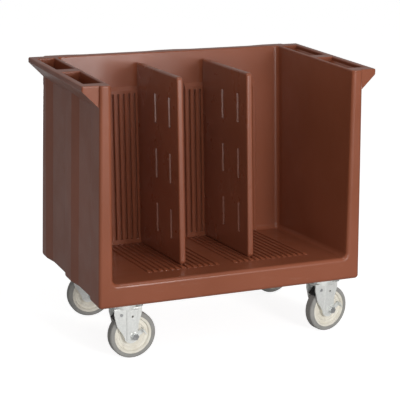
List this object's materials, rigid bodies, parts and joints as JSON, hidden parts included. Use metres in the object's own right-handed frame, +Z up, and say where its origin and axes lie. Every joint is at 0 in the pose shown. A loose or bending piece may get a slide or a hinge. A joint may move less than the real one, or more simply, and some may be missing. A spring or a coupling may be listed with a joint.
{
  "type": "plate dispenser cart",
  "caption": "Red-brown moulded plate dispenser cart, open at the front and top, with loose upright dividers, handle flanges with cutlery pockets, and swivel casters, the front ones braked.",
  "frame": {"origin": "on the ground under the middle of the cart", "axes": "+Z up, the open front faces -Y, +X to the right seen from the front"},
  "size_m": [0.962, 0.5996, 0.8621],
  "materials": {
    "moulded_shell": "satin, lightly textured moulded shell, red-brown",
    "moulded_divider": "satin moulded board, red-brown",
    "zinc_plate": "zinc plated pressed steel",
    "bolt_steel": "plated fastener steel",
    "ball_steel": "polished steel balls",
    "bearing_steel": "ground bearing steel",
    "core_plastic": "cream moulded wheel centre",
    "grey_tread": "grey non-marking tread",
    "black_rubber": "black brake shoe"
  },
  "bodies": {
    "cart": {"cart_body": "moulded_shell", "front_left_top_plate": "zinc_plate", "front_left_plate_bolts": "bolt_steel", "front_left_kingpin": "bolt_steel", "front_left_kingpin_nut": "bolt_steel", "front_right_top_plate": "zinc_plate", "front_right_plate_bolts": "bolt_steel", "front_right_kingpin": "bolt_steel", "front_right_kingpin_nut": "bolt_steel", "rear_left_top_plate": "zinc_plate", "rear_left_plate_bolts": "bolt_steel", "rear_left_kingpin": "bolt_steel", "rear_left_kingpin_nut": "bolt_steel", "rear_right_top_plate": "zinc_plate", "rear_right_plate_bolts": "bolt_steel", "rear_right_kingpin": "bolt_steel", "rear_right_kingpin_nut": "bolt_steel"},
    "divider_left": {"divider_left": "moulded_divider"},
    "divider_right": {"divider_right": "moulded_divider"},
    "front_left_swivel": {"front_left_swivel_balls": "ball_steel", "front_left_fork": "zinc_plate", "front_left_axle_bolt": "bolt_steel", "front_left_axle_nut": "bolt_steel", "front_left_spacer_tube": "bolt_steel", "front_left_brake_shoe_pin": "bolt_steel"},
    "front_left_wheel": {"front_left_hub_bearing": "bearing_steel", "front_left_wheel_core": "core_plastic", "front_left_tyre": "grey_tread"},
    "front_left_brake_lever": {"front_left_brake_lever": "zinc_plate"},
    "front_left_brake_shoe": {"front_left_brake_shoe": "black_rubber"},
    "front_right_swivel": {"front_right_swivel_balls": "ball_steel", "front_right_fork": "zinc_plate", "front_right_axle_bolt": "bolt_steel", "front_right_axle_nut": "bolt_steel", "front_right_spacer_tube": "bolt_steel", "front_right_brake_shoe_pin": "bolt_steel"},
    "front_right_wheel": {"front_right_hub_bearing": "bearing_steel", "front_right_wheel_core": "core_plastic", "front_right_tyre": "grey_tread"},
    "front_right_brake_lever": {"front_right_brake_lever": "zinc_plate"},
    "front_right_brake_shoe": {"front_right_brake_shoe": "black_rubber"},
    "rear_left_swivel": {"rear_left_swivel_balls": "ball_steel", "rear_left_fork": "zinc_plate", "rear_left_axle_bolt": "bolt_steel", "rear_left_axle_nut": "bolt_steel", "rear_left_spacer_tube": "bolt_steel"},
    "rear_left_wheel": {"rear_left_hub_bearing": "bearing_steel", "rear_left_wheel_core": "core_plastic", "rear_left_tyre": "grey_tread"},
    "rear_right_swivel": {"rear_right_swivel_balls": "ball_steel", "rear_right_fork": "zinc_plate", "rear_right_axle_bolt": "bolt_steel", "rear_right_axle_nut": "bolt_steel", "rear_right_spacer_tube": "bolt_steel"},
    "rear_right_wheel": {"rear_right_hub_bearing": "bearing_steel", "rear_right_wheel_core": "core_plastic", "rear_right_tyre": "grey_tread"}
  },
  "joints": [
    {"name": "divider_left_slide", "type": "slide", "parent": "cart", "child": "divider_left", "axis": [0, -0.9976, 0.0698], "range_m": [0, 0.48]},
    {"name": "divider_right_slide", "type": "slide", "parent": "cart", "child": "divider_right", "axis": [0, -0.9976, 0.0698], "range_m": [0, 0.48]},
    {"name": "front_left_swivel", "type": "hinge", "parent": "cart", "child": "front_left_swivel", "pos_m": [-0.338, -0.234, 0.175], "axis": [0, 0, 1], "continuous": true},
    {"name": "front_left_roll", "type": "hinge", "parent": "front_left_swivel", "child": "front_left_wheel", "pos_m": [-0.31401, -0.23316, 0.075], "axis": [-0.0349, 0.9994, 0], "continuous": true},
    {"name": "front_left_brake_pedal", "type": "hinge", "parent": "front_left_swivel", "child": "front_left_brake_lever", "pos_m": [-0.31401, -0.23316, 0.075], "axis": [-0.0349, 0.9994, 0], "range_deg": [0, 25]},
    {"name": "front_left_brake_grip", "type": "hinge", "parent": "front_left_swivel", "child": "front_left_brake_shoe", "pos_m": [-0.35599, -0.23463, 0.14775], "axis": [-0.0349, 0.9994, 0], "range_deg": [-3, 0]},
    {"name": "front_right_swivel", "type": "hinge", "parent": "cart", "child": "front_right_swivel", "pos_m": [0.338, -0.234, 0.175], "axis": [0, 0, 1], "continuous": true},
    {"name": "front_right_roll", "type": "hinge", "parent": "front_right_swivel", "child": "front_right_wheel", "pos_m": [0.36148, -0.22901, 0.075], "axis": [-0.2079, 0.9781, 0], "continuous": true},
    {"name": "front_right_brake_pedal", "type": "hinge", "parent": "front_right_swivel", "child": "front_right_brake_lever", "pos_m": [0.36148, -0.22901, 0.075], "axis": [-0.2079, 0.9781, 0], "range_deg": [0, 25]},
    {"name": "front_right_brake_grip", "type": "hinge", "parent": "front_right_swivel", "child": "front_right_brake_shoe", "pos_m": [0.32039, -0.23774, 0.14775], "axis": [-0.2079, 0.9781, 0], "range_deg": [-3, 0]},
    {"name": "rear_left_swivel", "type": "hinge", "parent": "cart", "child": "rear_left_swivel", "pos_m": [-0.338, 0.178, 0.175], "axis": [0, 0, 1], "continuous": true},
    {"name": "rear_left_roll", "type": "hinge", "parent": "rear_left_swivel", "child": "rear_left_wheel", "pos_m": [-0.31403, 0.17674, 0.075], "axis": [0.0523, 0.9986, 0], "continuous": true},
    {"name": "rear_right_swivel", "type": "hinge", "parent": "cart", "child": "rear_right_swivel", "pos_m": [0.338, 0.178, 0.175], "axis": [0, 0, 1], "continuous": true},
    {"name": "rear_right_roll", "type": "hinge", "parent": "rear_right_swivel", "child": "rear_right_wheel", "pos_m": [0.36177, 0.18134, 0.075], "axis": [-0.1392, 0.9903, 0], "continuous": true}
  ],
  "couplings": [
    {"joint": "front_left_brake_grip", "follows": "front_left_brake_pedal", "ratio": -0.12},
    {"joint": "front_right_brake_grip", "follows": "front_right_brake_pedal", "ratio": -0.12}
  ]
}
